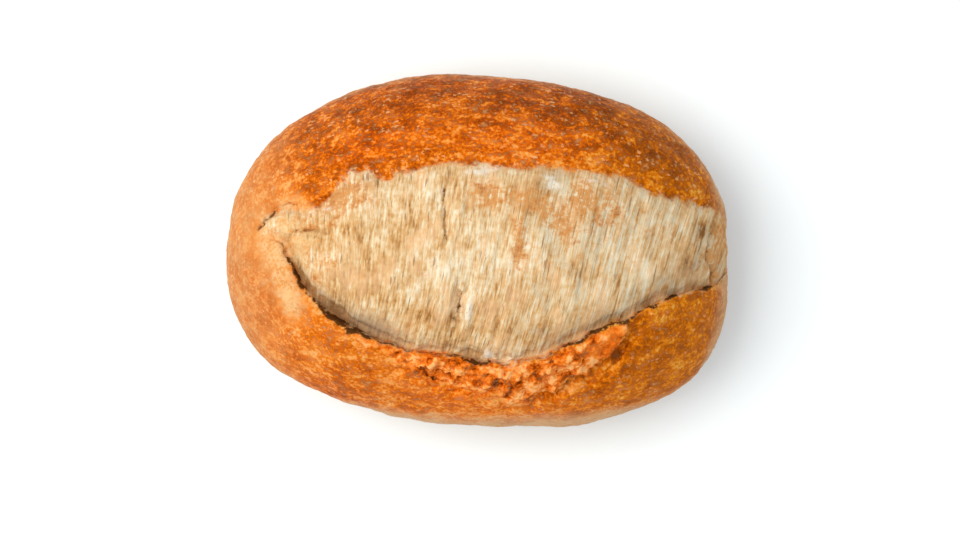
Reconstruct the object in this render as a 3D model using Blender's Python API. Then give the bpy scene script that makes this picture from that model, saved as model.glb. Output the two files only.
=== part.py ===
"""A bread roll: an oval wheat roll whose one lengthwise cut has opened wide in the oven.

The crust is one skin. It rises from a flat base round the widest outline and over the top, where
the cut has opened into a pale swollen ridge. The front edge of the cut stands up as a torn lip over
a crevice, and the back edge runs almost flush into the ridge.

Sizes are in millimetres, and MM turns them into Blender's metres when the mesh is made. +X runs
along the roll to its fuller end, +Y to its back and +Z up. The origin is the middle of the base.
"""

import math

import bmesh
import bpy
import numpy as np
from mathutils import Vector, noise

MM = 0.001

# Driving dimensions of the whole roll.
LENGTH = 115.0
WIDTH = 81.0
HEIGHT = 51.0
WAIST_HEIGHT = 17.0  # where the outline is widest
BASE_SHARE = 0.60  # how far the underside tucks in, as a share of the widest outline

# The widest outline is a superellipse that is fuller at the front of the right-hand end.
OUTLINE_POWER = 2.2
CORNER_POWER = 0.9  # added where the outline is fullest
CORNER_DIRECTION = math.radians(-42)
# The dough sat unevenly: (direction in degrees, reach in degrees, share by which the outline swells).
OUTLINE_SWELLS = (
    (14, 12, 0.008), (72, 16, -0.030), (128, 13, -0.014), (213, 18, 0.028), (249, 15, -0.036),
    (294, 11, 0.020), (335, 15, 0.020),
)

# The side of the roll is followed by an angle: 0 at the crown, 90 degrees at the waist.
RIM_ANGLE = math.radians(102)  # where the top grid ends and the rings of the underside begin
FOOT_ANGLE = math.radians(158)  # where the underside meets the flat base

# The grid: columns run across the roll, and rows follow the two edges of the cut.
COLUMNS = 84
FRONT_ROWS = 12
BLOOM_ROWS = 18
BACK_ROWS = 11
UNDERSIDE_RINGS = 4
ROW_CROWDING = 1.35  # the front rows crowd towards the lip

# The two edges of the opened cut, seen from above, from the left end to the right end.
FRONT_EDGE = (
    (-55.2, 0.6), (-50.5, 2.4), (-46.6, 2.0), (-44.0, -1.6), (-41.6, -7.0), (-37.8, -11.6), (-32.4, -16.2),
    (-25.0, -20.4), (-16.0, -23.2), (-5.0, -23.6), (3.5, -25.4), (15.0, -23.3), (28.0, -18.2), (41.5, -11.9),
    (56.0, -7.8),
)
BACK_EDGE = (
    (-55.2, 2.2), (-52.0, 4.6), (-46.5, 9.0), (-40.0, 10.2), (-33.4, 10.4), (-29.5, 15.5), (-25.5, 18.2),
    (-20.0, 17.2), (-10.5, 19.4), (5.0, 19.8), (20.0, 19.0), (33.5, 17.8), (41.0, 14.4), (49.0, 11.6),
    (56.5, 9.0),
)
END_PINCH = 0.45  # below the widest outline the two edges draw together, to this share
FRONT_RAGGED = (0.75, 3.1, 2.6)  # how far the torn edge strays from its line, over what length, noise seed
BACK_RAGGED = (0.95, 4.6, 8.1)

# The front lip in section, as (across, up) from the edge's line: crust, crest, nose over the crevice,
# its throat, its floor, and the wall of the ridge behind it.
LIP_SECTION = (
    (-5.5, 0.30), (-3.4, 0.75), (-1.8, 1.10), (-0.5, 1.05), (0.7, 0.30), (0.8, -0.70), (0.1, -1.90),
    (0.5, -2.90), (1.5, -2.60), (2.3, -1.60), (3.6, -0.70), (5.6, -0.15),
)
# The back edge in section: the ridge side first, then the crust, which stands a little proud.
BACK_SECTION = ((-1.6, -0.25), (-0.5, -0.45), (0.5, 0.35), (1.8, 0.40))
NARROW_GAP = 15.0  # where the edges are closer than this, the two sections shrink to fit
RIDGE_ROWS_FROM = FRONT_ROWS + 6  # the first row inside the cut, at the lip's nose
RIDGE_ROWS_TO = FRONT_ROWS + len(LIP_SECTION) + BLOOM_ROWS
TOP_ROWS = RIDGE_ROWS_TO - 1 + len(BACK_SECTION) + BACK_ROWS

# The crevice gapes most near the left end and has a second wide stretch in the middle.
GAPE = 0.42
GAPES = ((-34.0, 7.0, 0.62), (-1.0, 4.5, 0.30), (46.0, 9.0, 0.12))  # place along the roll, reach, extra
GAPE_RAGGED = (0.45, 4.0, 9.2)  # share by which it varies, over what length, noise seed
CREVICE_DEEPER = 2.0  # how much more the crevice grows than the lip where it gapes
TIP_FADE = (-53.0, -46.0)  # along the roll: where the cut begins at its left tip, and is fully formed
END_FADE = (17.0, 36.0)  # heights between which the cut forms as it climbs the right-hand end

# The ridge between the edges, and the unevenness of the whole roll.
RIDGE_RISE = 2.3
RIDGE_START = (1.0, 9.0)  # distances from the front edge over which the ridge rises
RIDGE_ARCH = (0.22, 0.96)  # the part of a half wave that the ridge follows from its front to its back
UNEVENNESS = ((27.0, 0.9), (11.0, 0.42))  # size and height of the swellings
UNEVENNESS_SEED = Vector((3.1, 7.7, 1.3))
RIB_HEIGHT = 0.75  # soft ribs across the ridge, left by the dough as it tore
RIB_SPACING = 4.4
RIB_LENGTH = 21.0
RIB_SLANT = 0.22  # how far they lean to the left towards the front
RIB_SEED = 0.4

# The torn crust under the front lip is coarse and cracked.
CRAG_HEIGHT = 2.1
CRAG_LIMITS = (-0.5, 0.75)  # the deepest pit and the highest lump, as shares of that height
CRAG_SIZE = 5.2
CRAG_NOISE = (0.9, 2.1, 3, 1.0, 2.0)  # dimension, lacunarity, octaves, offset and gain of the ridged noise
CRAG_FROM = 0.8
CRAG_REACH = 15.0  # how far it runs down from the lip
CRAG_ENDS = (-21.0, -12.0, 24.0, 36.0)  # where it begins, is full, is still full and ends

# Where the pale inside of the cut ends: at its left tip, and in a rounded point down the right-hand end.
PALE_FROM = -49.5
PALE_ABOVE = 17.5
PALE_END_FROM = 48.0  # the right-hand end starts here, along the roll
PALE_END_MIDDLE = 0.7
PALE_END_CLIMB = 0.085  # how fast the point climbs to either side of its middle

# Folds and tears: the line they follow, seen from above, then half their width and their depth.
TIP_CRACK = (((-52.6, 3.4), (-49.6, 5.6), (-46.4, 9.0), (-41.5, 10.2)), 1.1, 1.0)
TIP_FOLD = (((-43.2, 1.0), (-42.6, 4.2), (-39.0, 6.0), (-33.0, 5.4)), 1.4, 0.6)
FRONT_CREASE = (((39.5, -16.6), (33.0, -22.4), (27.0, -28.8), (15.5, -32.8)), 1.7, 1.5)
SHORT_CREASE = (((-12.5, -27.4), (-8.5, -29.8), (-4.0, -31.0)), 1.2, 0.9)
BACK_TEAR = (((-7.4, 15.5), (-7.2, 8.0), (-7.5, 0.5)), 0.9, 0.5)
FRONT_TEAR = (((-3.0, -8.0), (-3.4, -12.0), (-4.6, -16.5)), 1.2, 0.9)
TEARS = (TIP_CRACK, TIP_FOLD, FRONT_CREASE, SHORT_CREASE, BACK_TEAR, FRONT_TEAR)
TEAR_ENDS = (0.12, 0.88)  # the part of a half wave that a tear's depth follows from end to end


def blend(low, high, value):
    """0 below low, 1 above high, and a smooth climb between them."""
    share = min(1.0, max(0.0, (value - low) / (high - low)))
    return share * share * (3.0 - 2.0 * share)


def hump(value, middle, reach):
    return math.exp(-(((value - middle) / reach) ** 2))


def arch(way, ends):
    """The height of a half wave, of which only the part between the ends is followed."""
    return math.sin(math.pi * (ends[0] + (ends[1] - ends[0]) * way))


def outline_scale(direction):
    """How far the widest outline lies outside the plain ellipse in this direction."""
    fullness = max(0.0, math.cos(direction - CORNER_DIRECTION)) ** 4
    power = OUTLINE_POWER + CORNER_POWER * fullness
    along, across = abs(math.cos(direction)), abs(math.sin(direction))
    swell = 1.0
    for middle, reach, share in OUTLINE_SWELLS:
        turn = math.remainder(direction - math.radians(middle), 2 * math.pi)
        swell += share * hump(turn, 0.0, math.radians(reach))
    return swell * (along**power + across**power) ** (-1.0 / power)


def side(angle):
    """Share of the widest outline and height, for an angle down the side from the crown."""
    if angle <= math.pi / 2:
        return math.sin(angle), WAIST_HEIGHT + (HEIGHT - RIDGE_RISE - WAIST_HEIGHT) * math.cos(angle)
    tuck = BASE_SHARE + (1.0 - BASE_SHARE) * math.sin(angle)
    return tuck, WAIST_HEIGHT * (1.0 - math.cos(angle) / math.cos(FOOT_ANGLE))


def skin(direction, angle):
    """The plain roll's surface, before the cut and the unevenness."""
    share, height = side(angle)
    reach = share * outline_scale(direction)
    return Vector((LENGTH / 2 * reach * math.cos(direction), WIDTH / 2 * reach * math.sin(direction), height))


def skin_on_disc(a, b):
    """The plain surface at a place on the unit disc, whose edge is the rim."""
    return skin(math.atan2(b, a), math.hypot(a, b) * RIM_ANGLE)


def disc_place(place):
    """The place on the unit disc for one on the square grid. The grid's edges become the disc's edge."""
    u, v = place
    return u * math.sqrt(1.0 - v * v / 2), v * math.sqrt(1.0 - u * u / 2)


def skin_at(place):
    return skin_on_disc(*disc_place(place))


def grid_place(x, y):
    """The place on the square grid that lies under a point seen from above."""
    x, y = 2 * x / LENGTH, 2 * y / WIDTH
    direction = math.atan2(y, x)
    share = min(1.0, math.hypot(x, y) / outline_scale(direction))
    reach = math.asin(share) / RIM_ANGLE
    a, b = reach * math.cos(direction), reach * math.sin(direction)

    def one_side(p, q):
        wide, narrow = 2.0 + p * p - q * q, 2.0 * math.sqrt(2.0) * p
        return (math.sqrt(max(0.0, wide + narrow)) - math.sqrt(max(0.0, wide - narrow))) / 2

    return np.array((one_side(a, b), one_side(b, a)))


def smooth_curve(points, steps=12):
    """Points close together on a smooth curve through the given ones."""
    points = [np.array(p) for p in points]
    ends = [2 * points[0] - points[1], *points, 2 * points[-1] - points[-2]]
    curve = []
    for before, start, end, after in zip(ends, ends[1:], ends[2:], ends[3:]):
        for step in range(steps):
            t = step / steps
            curve.append(
                0.5
                * (
                    2 * start
                    + (end - before) * t
                    + (2 * before - 5 * start + 4 * end - after) * t**2
                    + (3 * start - before - 3 * end + after) * t**3
                )
            )
    return [*curve, points[-1]]


def edge_line(points):
    """An edge of the cut as places on the grid, carried on to the rim at both ends."""
    places = [grid_place(*p) for p in smooth_curve(points)]
    left, right = places[0] / abs(places[0][0]), places[-1] / abs(places[-1][0])
    pinch = np.array((1.0, END_PINCH))
    return np.array([left * pinch, *places, right * pinch])


def at_share(line, share):
    """The place at a share of a line's length."""
    lengths = np.concatenate(([0.0], np.cumsum(np.linalg.norm(np.diff(line, axis=0), axis=1))))
    wanted = share * lengths[-1]
    return np.array([np.interp(wanted, lengths, line[:, axis]) for axis in (0, 1)])


def slopes(place, step=0.004):
    """How the plain surface runs, in millimetres, for a step along u and along v."""
    u, v = place
    clear = 1.0 - step
    u, v = min(clear, max(-clear, u)), min(clear, max(-clear, v))
    along_u = (skin_at((u + step, v)) - skin_at((u - step, v))) / (2 * step)
    along_v = (skin_at((u, v + step)) - skin_at((u, v - step))) / (2 * step)
    return along_u, along_v


def outward(place, step=0.003):
    """The plain surface's normal, taken on the disc because the square grid is flattened at its corners."""
    a, b = disc_place(place)
    along_a = skin_on_disc(a + step, b) - skin_on_disc(a - step, b)
    along_b = skin_on_disc(a, b + step) - skin_on_disc(a, b - step)
    return along_a.cross(along_b).normalized()


def across_line(line, share):
    """The step on the grid that goes 1 mm over the surface, square to an edge's line and towards the back."""
    reach = 0.022
    place = at_share(line, share)
    ahead, behind = at_share(line, min(1.0, share + reach)), at_share(line, max(0.0, share - reach))
    along = (skin_at(ahead) - skin_at(behind)).normalized()
    square = outward(place).cross(along)
    jacobian = np.array(slopes(place)).T
    return np.linalg.lstsq(jacobian, np.array(square), rcond=None)[0]


def line_distance(x, y, line):
    """Distance from a point seen from above to a line, and the share of the line at the nearest place."""
    nearest, share = 1e9, 0.0
    count = len(line) - 1
    for index, (start, end) in enumerate(zip(line, line[1:])):
        run = (end[0] - start[0], end[1] - start[1])
        length = run[0] ** 2 + run[1] ** 2
        t = max(0.0, min(1.0, ((x - start[0]) * run[0] + (y - start[1]) * run[1]) / length))
        gap = math.hypot(x - start[0] - t * run[0], y - start[1] - t * run[1])
        if gap < nearest:
            nearest, share = gap, (index + t) / count
    return nearest, share


def tears(x, y):
    """Depth of the folds and tears at a point seen from above."""
    depth = 0.0
    for line, half_width, deepest in TEARS:
        gap, share = line_distance(x, y, line)
        depth += deepest * hump(gap, 0.0, half_width) * arch(share, TEAR_ENDS)
    return depth


def unevenness(point):
    """The soft swellings of the whole roll."""
    return sum(height * noise.noise(point / size + UNEVENNESS_SEED) for size, height in UNEVENNESS)


def crags(point, below_lip):
    """The coarse torn crust, for a distance down from the front lip."""
    start, full, still_full, end = CRAG_ENDS
    place = blend(start, full, point.x) * (1.0 - blend(still_full, end, point.x))
    reach = blend(0.0, CRAG_FROM, below_lip) * (1.0 - blend(CRAG_REACH / 2, CRAG_REACH, below_lip))
    roughness, finer, layers, middle, gain = CRAG_NOISE
    lumps = noise.ridged_multi_fractal(point / CRAG_SIZE, roughness, finer, layers, middle, gain) - 1.0
    return CRAG_HEIGHT * place * reach * min(CRAG_LIMITS[1], max(CRAG_LIMITS[0], lumps))


def ribs(point):
    """Soft ribs that run across the ridge."""
    along = point.x - RIB_SLANT * point.y
    return RIB_HEIGHT * noise.noise(Vector((along / RIB_SPACING, point.y / RIB_LENGTH, RIB_SEED)))


def gape(point):
    """How far the crevice opens at a point of the front edge."""
    wide = GAPE + sum(extra * hump(point.x, middle, reach) for middle, reach, extra in GAPES)
    varies, length, seed = GAPE_RAGGED
    return wide * (1.0 + varies * noise.noise(Vector((point.x / length, seed, 0.0))))


def presence(point):
    """1 where the cut is open. It closes at its left tip and dies away down the right-hand end."""
    return blend(*TIP_FADE, point.x) * blend(*END_FADE, point.z)


def ragged(point, stray, length, seed):
    return stray * presence(point) * noise.noise(Vector((point.x / length, point.y / length, seed)))


def column(share, front_line, back_line):
    """One column of the top grid, from the front rim to the back rim, as finished points."""
    u = 2 * share - 1
    front, back = at_share(front_line, share), at_share(back_line, share)
    front_step, back_step = across_line(front_line, share), across_line(back_line, share)
    front_point, back_point = skin_at(front), skin_at(back)
    shrink = min(1.0, (back_point - front_point).length / NARROW_GAP)
    front = front + front_step * shrink * ragged(front_point, *FRONT_RAGGED)
    back = back + back_step * shrink * ragged(back_point, *BACK_RAGGED)
    rim_front, rim_back = np.array((u, -1.0)), np.array((u, 1.0))
    lip = [front + front_step * across * shrink for across, _ in LIP_SECTION]
    edge = [back + back_step * across * shrink for across, _ in BACK_SECTION]
    opening = gape(front_point) * shrink
    points = []

    def add(place, lift, below_lip=None, on_ridge=0.0):
        base = skin_at(place)
        lift = presence(base) * (lift + on_ridge * (RIDGE_RISE + ribs(base)))
        if below_lip is not None:
            lift += crags(base, below_lip)
        points.append(base + outward(place) * (lift + unevenness(base) - tears(base.x, base.y)))

    lip_foot = -LIP_SECTION[0][0]
    for row in range(FRONT_ROWS):
        way = 1.0 - (1.0 - row / FRONT_ROWS) ** ROW_CROWDING
        place = rim_front + (lip[0] - rim_front) * way
        below_lip = lip_foot + (skin_at(lip[0]) - skin_at(place)).length
        add(place, LIP_SECTION[0][1] * opening * way**3, below_lip)
    for place, (across, up) in zip(lip, LIP_SECTION):
        deepened = up * opening * (CREVICE_DEEPER if up < 0 else 1.0)
        rise = RIDGE_RISE * shrink * blend(*RIDGE_START, across)
        add(place, deepened + rise, -across if across < 0 else None)
    for row in range(1, BLOOM_ROWS):
        way = row / BLOOM_ROWS
        add(lip[-1] + (edge[0] - lip[-1]) * way, 0.0, on_ridge=arch(way, RIDGE_ARCH) * shrink)
    for place, (_, up) in zip(edge, BACK_SECTION):
        add(place, up * shrink)
    for row in range(1, BACK_ROWS + 1):
        way = row / BACK_ROWS
        add(edge[-1] + (rim_back - edge[-1]) * way, BACK_SECTION[-1][1] * shrink * (1.0 - way) ** 2)
    return points


def underside_ring(rim_points, directions, ring):
    """One ring of the underside. The rim's unevenness dies away towards the flat base."""
    angle = RIM_ANGLE + (FOOT_ANGLE - RIM_ANGLE) * ring / UNDERSIDE_RINGS
    left = 1.0 - ring / UNDERSIDE_RINGS
    points = []
    for rim_point, direction in zip(rim_points, directions):
        lift = rim_point - skin(direction, RIM_ANGLE)
        point = skin(direction, angle) + lift * left**1.5
        point.z = point.z if ring < UNDERSIDE_RINGS else 0.0
        points.append(point)
    return points


def rim_places():
    """The grid's edge as (column, row), once round."""
    last = TOP_ROWS - 1
    edge = [(i, 0) for i in range(COLUMNS)] + [(COLUMNS, j) for j in range(last)]
    edge += [(i, last) for i in range(COLUMNS, 0, -1)] + [(0, j) for j in range(last, 0, -1)]
    return edge


def settled(points):
    """The points moved and scaled so that the box has the driving sizes and stands on its middle."""
    points = np.array(points)
    low, high = points.min(axis=0), points.max(axis=0)
    low[2] = 0.0
    standing_on = (low + high) / 2
    standing_on[2] = 0.0
    return (points - standing_on) * np.array((LENGTH, WIDTH, HEIGHT)) / (high - low)


def is_pale(point):
    """Whether a point inside the cut shows its pale inside, rather than browned crust."""
    if point.x > PALE_END_FROM:
        return point.z > PALE_ABOVE + PALE_END_CLIMB * (point.y - PALE_END_MIDDLE) ** 2
    return point.x > PALE_FROM


def make_material(name, colour, roughness):
    material = bpy.data.materials.new(name)
    material.use_nodes = True
    shader = material.node_tree.nodes["Principled BSDF"]
    shader.inputs["Base Color"].default_value = (*colour, 1.0)
    shader.inputs["Roughness"].default_value = roughness
    material.diffuse_color = (*colour, 1.0)
    return material


def make_roll():
    front_line, back_line = edge_line(FRONT_EDGE), edge_line(BACK_EDGE)
    columns = [column(i / COLUMNS, front_line, back_line) for i in range(COLUMNS + 1)]
    edge = rim_places()
    rim_points = [columns[i][j] for i, j in edge]
    directions = [math.atan2(2 * p.y / WIDTH, 2 * p.x / LENGTH) for p in rim_points]
    rings = [underside_ring(rim_points, directions, ring) for ring in range(1, UNDERSIDE_RINGS + 1)]
    points = [p for one in columns for p in one] + [p for ring in rings for p in ring]

    roll = bmesh.new()
    verts = [roll.verts.new(p * MM) for p in settled(points)]
    grid = [verts[i * TOP_ROWS : (i + 1) * TOP_ROWS] for i in range(COLUMNS + 1)]
    for i in range(COLUMNS):
        for j in range(TOP_ROWS - 1):
            face = roll.faces.new((grid[i][j], grid[i + 1][j], grid[i + 1][j + 1], grid[i][j + 1]))
            in_cut = RIDGE_ROWS_FROM <= j < RIDGE_ROWS_TO and is_pale(face.calc_center_median() / MM)
            face.material_index = 1 if in_cut else 0
    upper = [grid[i][j] for i, j in edge]
    start = (COLUMNS + 1) * TOP_ROWS
    for ring in range(UNDERSIDE_RINGS):
        lower = verts[start + ring * len(edge) : start + (ring + 1) * len(edge)]
        for k in range(len(edge)):
            after = (k + 1) % len(edge)
            roll.faces.new((lower[k], lower[after], upper[after], upper[k]))
        upper = lower
    roll.faces.new(list(reversed(upper)))
    for face in roll.faces:
        face.smooth = True
    mesh = bpy.data.meshes.new("bread_roll")
    roll.to_mesh(mesh)
    roll.free()
    mesh.set_sharp_from_angle(angle=math.radians(50))
    mesh.materials.append(make_material("baked crust", (0.55, 0.21, 0.045), 0.55))
    mesh.materials.append(make_material("opened cut", (0.78, 0.58, 0.34), 0.85))
    bpy.context.scene.collection.objects.link(bpy.data.objects.new("bread_roll", mesh))


for leftover in list(bpy.data.objects):
    bpy.data.objects.remove(leftover)
make_roll()
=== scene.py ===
import math

import bpy
import numpy as np
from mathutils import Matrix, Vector, noise


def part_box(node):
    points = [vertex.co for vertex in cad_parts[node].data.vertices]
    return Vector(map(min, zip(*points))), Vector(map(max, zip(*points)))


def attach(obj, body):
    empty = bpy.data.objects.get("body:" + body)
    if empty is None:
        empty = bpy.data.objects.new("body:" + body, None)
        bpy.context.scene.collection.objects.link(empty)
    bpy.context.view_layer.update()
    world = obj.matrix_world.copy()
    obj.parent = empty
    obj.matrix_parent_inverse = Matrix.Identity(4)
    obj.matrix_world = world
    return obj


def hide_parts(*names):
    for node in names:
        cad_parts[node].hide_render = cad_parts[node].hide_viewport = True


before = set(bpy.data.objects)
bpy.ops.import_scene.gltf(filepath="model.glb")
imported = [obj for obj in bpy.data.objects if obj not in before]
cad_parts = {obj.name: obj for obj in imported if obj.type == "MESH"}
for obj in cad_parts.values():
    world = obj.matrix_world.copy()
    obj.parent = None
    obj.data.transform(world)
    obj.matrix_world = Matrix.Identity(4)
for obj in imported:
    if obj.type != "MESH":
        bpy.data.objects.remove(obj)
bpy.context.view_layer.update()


# ---- The shaped roll -----------------------------------------------------------------------------
# One piece of wheat dough, rolled up into an oval, proofed and baked on a flat tray. Its skin has
# dried to a closed crust all round, and the tray has left a flat base with a soft edge.

MM = 0.001
MERGED = 0.001 * MM  # points that are nearer to each other than this become one
FLAT = 0.02 * MM  # all of the base lies below this height
BASE_ROWS = 2  # rows of faces inside the rim of the flat base
BASE_ROW = (0.96, 0.96, 1.0)  # the size of each row as a share of the one outside it
TOP_FROM = 16.5  # the height in millimetres above which the skin shows from above
LONGEST_ABOVE = 0.66  # up there the mesh's edges are halved where they are longer than this
LONGEST_BELOW = 1.7  # and where they are longer than this below it
LONGEST_TORN = 0.45  # and than this in the torn crust under the cut's lip
TORN_PLACE = ((-20.0, -36.0, 24.0), (41.0, -17.0, 46.0))  # the box around it


def pick(piece):
    bpy.ops.object.select_all(action="DESELECT")
    piece.select_set(True)
    bpy.context.view_layer.objects.active = piece


def per_point(piece, what="co"):
    """The places of the piece's points in metres, or their normals, as an array."""
    values = np.empty(len(piece.data.vertices) * 3, np.float32)
    piece.data.vertices.foreach_get(what, values)
    return values.reshape(-1, 3).astype(float)


roll = bpy.data.objects.new("roll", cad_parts["bread_roll"].data.copy())
bpy.context.scene.collection.objects.link(roll)
pick(roll)
bpy.ops.object.mode_set(mode="EDIT")
bpy.ops.mesh.select_all(action="SELECT")
bpy.ops.mesh.remove_doubles(threshold=MERGED)
bpy.ops.mesh.select_all(action="DESELECT")
bpy.ops.mesh.select_mode(type="FACE")
bpy.ops.object.mode_set(mode="OBJECT")

# The flat base gets fuller triangles in place of long thin ones.
for face in roll.data.polygons:
    face.select = all(roll.data.vertices[corner].co.z < FLAT for corner in face.vertices)
bpy.ops.object.mode_set(mode="EDIT")
bpy.ops.mesh.dissolve_faces()
for _ in range(BASE_ROWS):
    bpy.ops.mesh.extrude_region()
    bpy.ops.transform.resize(value=BASE_ROW, center_override=(0, 0, 0))
bpy.ops.mesh.quads_convert_to_tris(ngon_method="BEAUTY")
bpy.ops.mesh.beautify_fill(angle_limit=math.pi)
bpy.ops.mesh.select_all(action="SELECT")
bpy.ops.mesh.tris_convert_to_quads(face_threshold=math.pi, shape_threshold=math.pi)
bpy.ops.object.mode_set(mode="OBJECT")

rounder = roll.modifiers.new("rounder", "SUBSURF")
rounder.levels = rounder.render_levels = 1
bpy.ops.object.modifier_apply(modifier=rounder.name)


def split_long_edges(piece, longest):
    """Halves every edge that is longer than the length given for its middle, in millimetres."""
    pick(piece)
    bpy.ops.object.mode_set(mode="EDIT")
    bpy.ops.mesh.select_all(action="DESELECT")
    bpy.ops.mesh.select_mode(type="EDGE")
    bpy.ops.object.mode_set(mode="OBJECT")
    points = per_point(piece) / MM
    pairs = np.empty(len(piece.data.edges) * 2, np.int32)
    piece.data.edges.foreach_get("vertices", pairs)
    ends = points[pairs.reshape(-1, 2)]
    long = np.linalg.norm(ends[:, 0] - ends[:, 1], axis=1) > longest(ends.mean(axis=1))
    piece.data.edges.foreach_set("select", long)
    bpy.ops.object.mode_set(mode="EDIT")
    bpy.ops.mesh.subdivide(number_cuts=1, smoothness=1.0)
    bpy.ops.object.mode_set(mode="OBJECT")


for _ in range(2):
    split_long_edges(roll, lambda at: np.where(at[:, 2] > TOP_FROM, LONGEST_ABOVE, LONGEST_BELOW))
low, high = np.array(TORN_PLACE)
split_long_edges(roll, lambda at: np.where(
    ((at > low) & (at < high)).all(axis=1), LONGEST_TORN, np.inf))

bpy.ops.object.shade_smooth()


# ---- The opened cut ------------------------------------------------------------------------------
# The baker's blade went once along the top. In the oven the dough pushed up through the cut as a
# pale ridge of drawn-out fibres. Its front edge tore and stands up as a lip, its back edge lies flush.

# The two edges from above in millimetres, from the left end to the right end.
FRONT_EDGE = (
    (-55.2, 0.6), (-50.5, 2.4), (-46.6, 2.0), (-44.0, -1.6), (-41.6, -7.0), (-37.8, -11.6),
    (-32.4, -16.2), (-25.0, -20.4), (-16.0, -23.2), (-5.0, -23.6), (3.5, -25.4), (15.0, -23.3),
    (28.0, -18.2), (41.5, -11.9), (56.0, -7.8), (58.0, -7.0),
)
BACK_EDGE = (
    (-55.2, 2.2), (-52.0, 4.6), (-46.5, 9.0), (-40.0, 10.2), (-33.4, 10.4), (-29.5, 15.5),
    (-25.5, 18.2), (-20.0, 17.2), (-10.5, 19.4), (5.0, 19.8), (20.0, 19.0), (33.5, 17.8),
    (41.0, 14.4), (49.0, 11.6), (56.5, 9.0), (58.0, 8.4),
)
# How far the torn edges stray from their lines, over what length, and the seed of the noise.
FRONT_RAGGED = (0.75, 3.1, 2.6)
BACK_RAGGED = (0.95, 4.6, 8.1)
RAGGED_ENDS = (-53.0, -46.0, 47.0, 56.0)  # along the roll: the straying begins, is full, fades, ends
NOSE = 0.9  # how far the front lip reaches over the ridge
PALE_INSET = (  # along the roll, and how far inside its back edge the ridge turns pale there
    (-36.0, 0.0), (-31.5, -2.4), (-27.0, 0.0), (-10.0, 0.2), (10.0, 0.4), (28.0, 0.4), (36.0, 1.0),
    (44.0, 1.0), (50.0, 0.3),
)
CUT_FROM = -49.5  # along the roll, where the pale ridge begins at the left tip
WAIST = (15.0, 21.0)  # the heights between which the lower side turns into the upper side
CUT_END_FROM = 48.0  # from here the right-hand end of the ridge is a rounded point down the side
CUT_END = (17.5, 0.7, 0.085)  # its lowest height, the middle of the point, and how fast it climbs
PULLED = (  # along the roll, and how far the rising dough pulled the lip forward there
    (-42.0, 0.0), (-34.0, 1.0), (-28.0, 0.7), (-20.0, 0.6), (-13.0, 1.1), (-5.0, 1.5), (3.0, 2.1),
    (10.0, 2.7), (15.0, 2.5), (21.0, 1.8), (28.0, 1.4), (33.0, 1.9), (38.0, 1.5), (46.0, 1.0),
    (55.0, 0.8), (57.0, 0.0),
)
PULL_REACH = 7.0  # how far from the edge the skin was pulled along
FIBRE_LEAN = (-30.0, 0.05, 0.0032)  # a place along the roll, their lean there, its growth to the right
FIBRE_CURL = (-6.0, 0.010)  # in front of this they curl to the left, and how fast
# The fibres are this many times as long as wide. From the first to the second of the places along the
# roll they grow longer still, as that share is taken off their map.
FIBRE_STRETCH = 6.0
STRETCH_MORE = (-10.0, 30.0, 0.45)


def between(values, low, high):
    """0 below low, 1 above high, and a smooth climb between them."""
    share = np.clip((values - low) / (high - low), 0, 1)
    return share * share * (3 - 2 * share)


def part(values, begin, full, fade, end):
    """1 along one part, with a smooth climb where it begins and a smooth fall where it ends."""
    return between(values, begin, full) * (1 - between(values, fade, end))


def smooth_line(points, steps=20):
    """Points close together on a smooth curve through the given ones."""
    points = [np.array(p) for p in points]
    ends = [2 * points[0] - points[1], *points, 2 * points[-1] - points[-2]]
    line = []
    for before, start, end, after in zip(ends, ends[1:], ends[2:], ends[3:]):
        for t in np.arange(steps) / steps:
            bend = 2 * before - 5 * start + 4 * end - after
            swing = 3 * start - before - 3 * end + after
            line.append((2 * start + (end - before) * t + bend * t**2 + swing * t**3) / 2)
    return np.array([*line, points[-1]])


def torn(line, stray, length, seed, ends=None):
    """The line moved to and fro along its normals, as a torn edge runs."""
    runs = np.gradient(line, axis=0)
    normals = np.stack((-runs[:, 1], runs[:, 0]), axis=1) / np.linalg.norm(runs, axis=1)[:, None]
    places = [Vector((x / length, y / length, seed)) for x, y in line]
    strays = stray * np.array([noise.fractal(place, 0.6, 2.2, 3) for place in places])
    if ends:
        strays *= part(line[:, 0], *ends)
    return line + normals * strays[:, None]


def distance(flat, line):
    """Distance of points from a line as seen from above, positive to the line's left."""
    nearest, signed = np.full(len(flat), np.inf), np.zeros(len(flat))
    for start, end in zip(line, line[1:]):
        run, away = end - start, flat - start
        along = np.clip(away @ run / (run @ run), 0, 1)
        gap = np.linalg.norm(away - along[:, None] * run, axis=1)
        closer = gap < nearest
        nearest[closer] = gap[closer]
        signed[closer] = np.copysign(gap, run[0] * away[:, 1] - run[1] * away[:, 0])[closer]
    return signed


def patches(flat, ovals):
    """The sum of soft ovals, each given by x, y, half length, half width, turn in degrees, strength."""
    total = np.zeros(len(flat))
    for x, y, half_length, half_width, turn, strength in ovals:
        turn = math.radians(turn)
        away = flat - (x, y)
        long = (away @ (math.cos(turn), math.sin(turn))) / half_length
        wide = (away @ (-math.sin(turn), math.cos(turn))) / half_width
        total += strength * np.exp(-(long**2 + wide**2))
    return total


def weigh(piece, name, weights):
    """A vertex group of that name with a weight from 0 to 1 for every point."""
    group = piece.vertex_groups.new(name=name)
    for place, weight in enumerate(weights):
        if weight > 0.004:
            group.add([place], float(weight), "REPLACE")


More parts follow.
